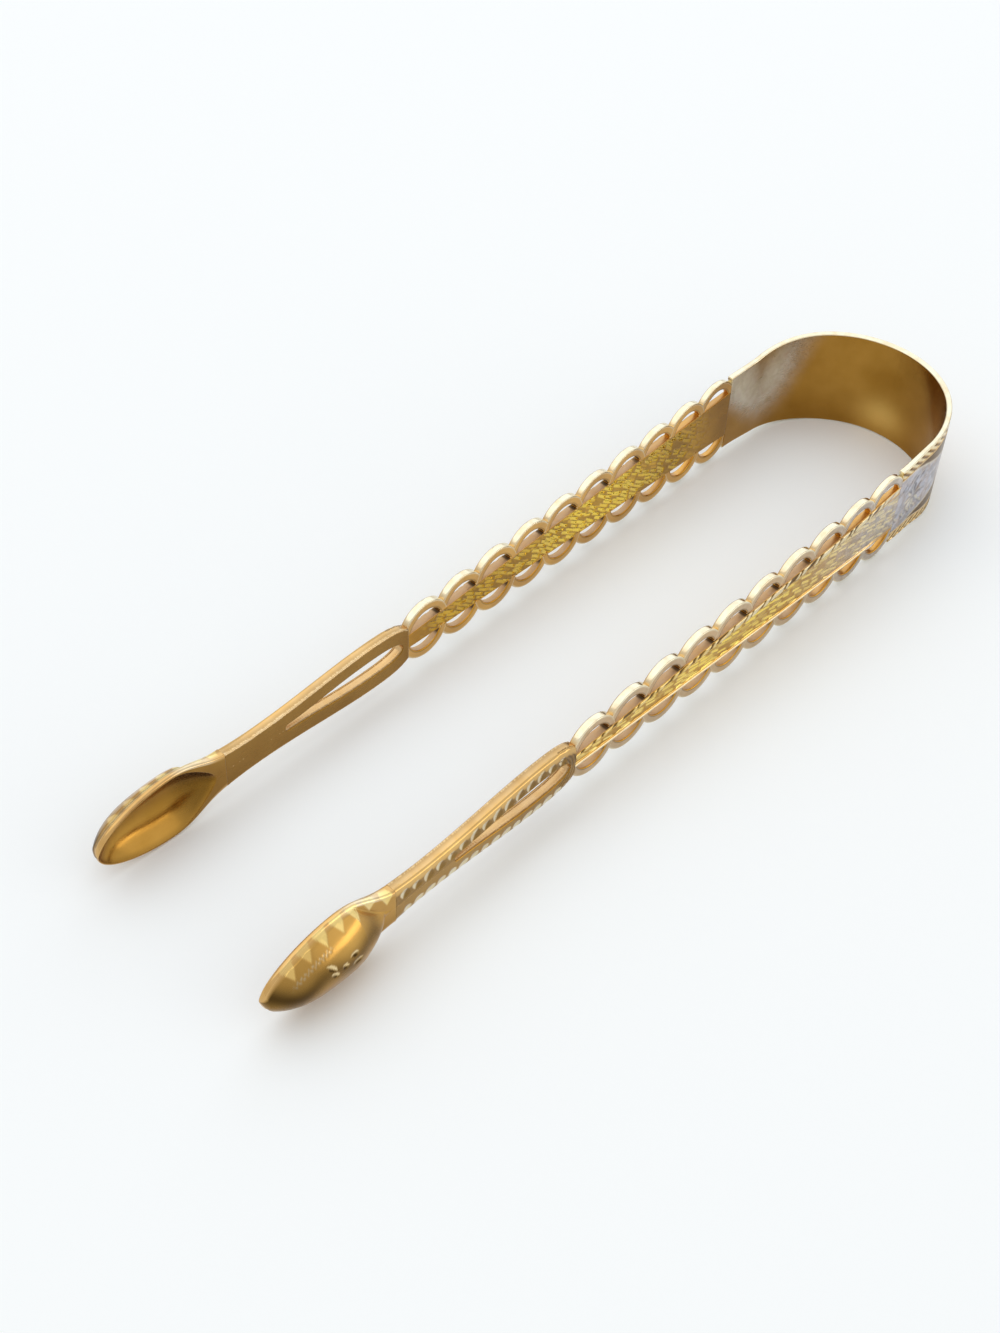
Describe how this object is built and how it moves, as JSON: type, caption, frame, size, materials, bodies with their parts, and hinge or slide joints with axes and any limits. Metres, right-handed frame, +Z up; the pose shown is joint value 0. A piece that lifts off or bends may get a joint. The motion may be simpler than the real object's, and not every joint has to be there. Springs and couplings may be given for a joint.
{
  "type": "sugar tongs",
  "caption": "Sprung serving tongs: a U-shaped bow, two tapering arms with pierced scalloped edges, slotted shanks and spoon-shaped ends that close on a lump of sugar.",
  "frame": {"origin": "centre of the bounding box in X and Y, at the table that the tongs lie on", "axes": "+X from the bowls towards the bow, +Y towards the left arm, +Z up from the table with the tongs lying on one side"},
  "size_m": [0.1399, 0.0348, 0.0159],
  "materials": {
    "bow_spring": "polished gilt",
    "left_pierced_arm": "polished gilt",
    "left_slotted_shank": "polished gilt",
    "left_bowl": "polished gilt",
    "right_pierced_arm": "polished gilt",
    "right_slotted_shank": "polished gilt",
    "right_bowl": "polished gilt"
  },
  "bodies": {
    "bow": {"bow_spring": "bow_spring"},
    "left_arm": {"left_pierced_arm": "left_pierced_arm", "left_slotted_shank": "left_slotted_shank", "left_bowl": "left_bowl"},
    "right_arm": {"right_pierced_arm": "right_pierced_arm", "right_slotted_shank": "right_slotted_shank", "right_bowl": "right_bowl"}
  },
  "joints": [
    {"name": "left_squeeze", "type": "hinge", "parent": "bow", "child": "left_arm", "pos_m": [0.05808, 0.0119, 0.00774], "axis": [-0.0213, 0, 0.9998], "range_deg": [0, 6], "stiffness_Nm_per_rad": 2.3, "deforming": ["bow_spring"]},
    {"name": "right_squeeze", "type": "hinge", "parent": "bow", "child": "right_arm", "pos_m": [0.05808, -0.0119, 0.00774], "axis": [0.0213, 0, -0.9998], "range_deg": [0, 6], "stiffness_Nm_per_rad": 2.3, "deforming": ["bow_spring"]}
  ],
  "couplings": [
    {"joint": "right_squeeze", "follows": "left_squeeze", "ratio": 1}
  ]
}
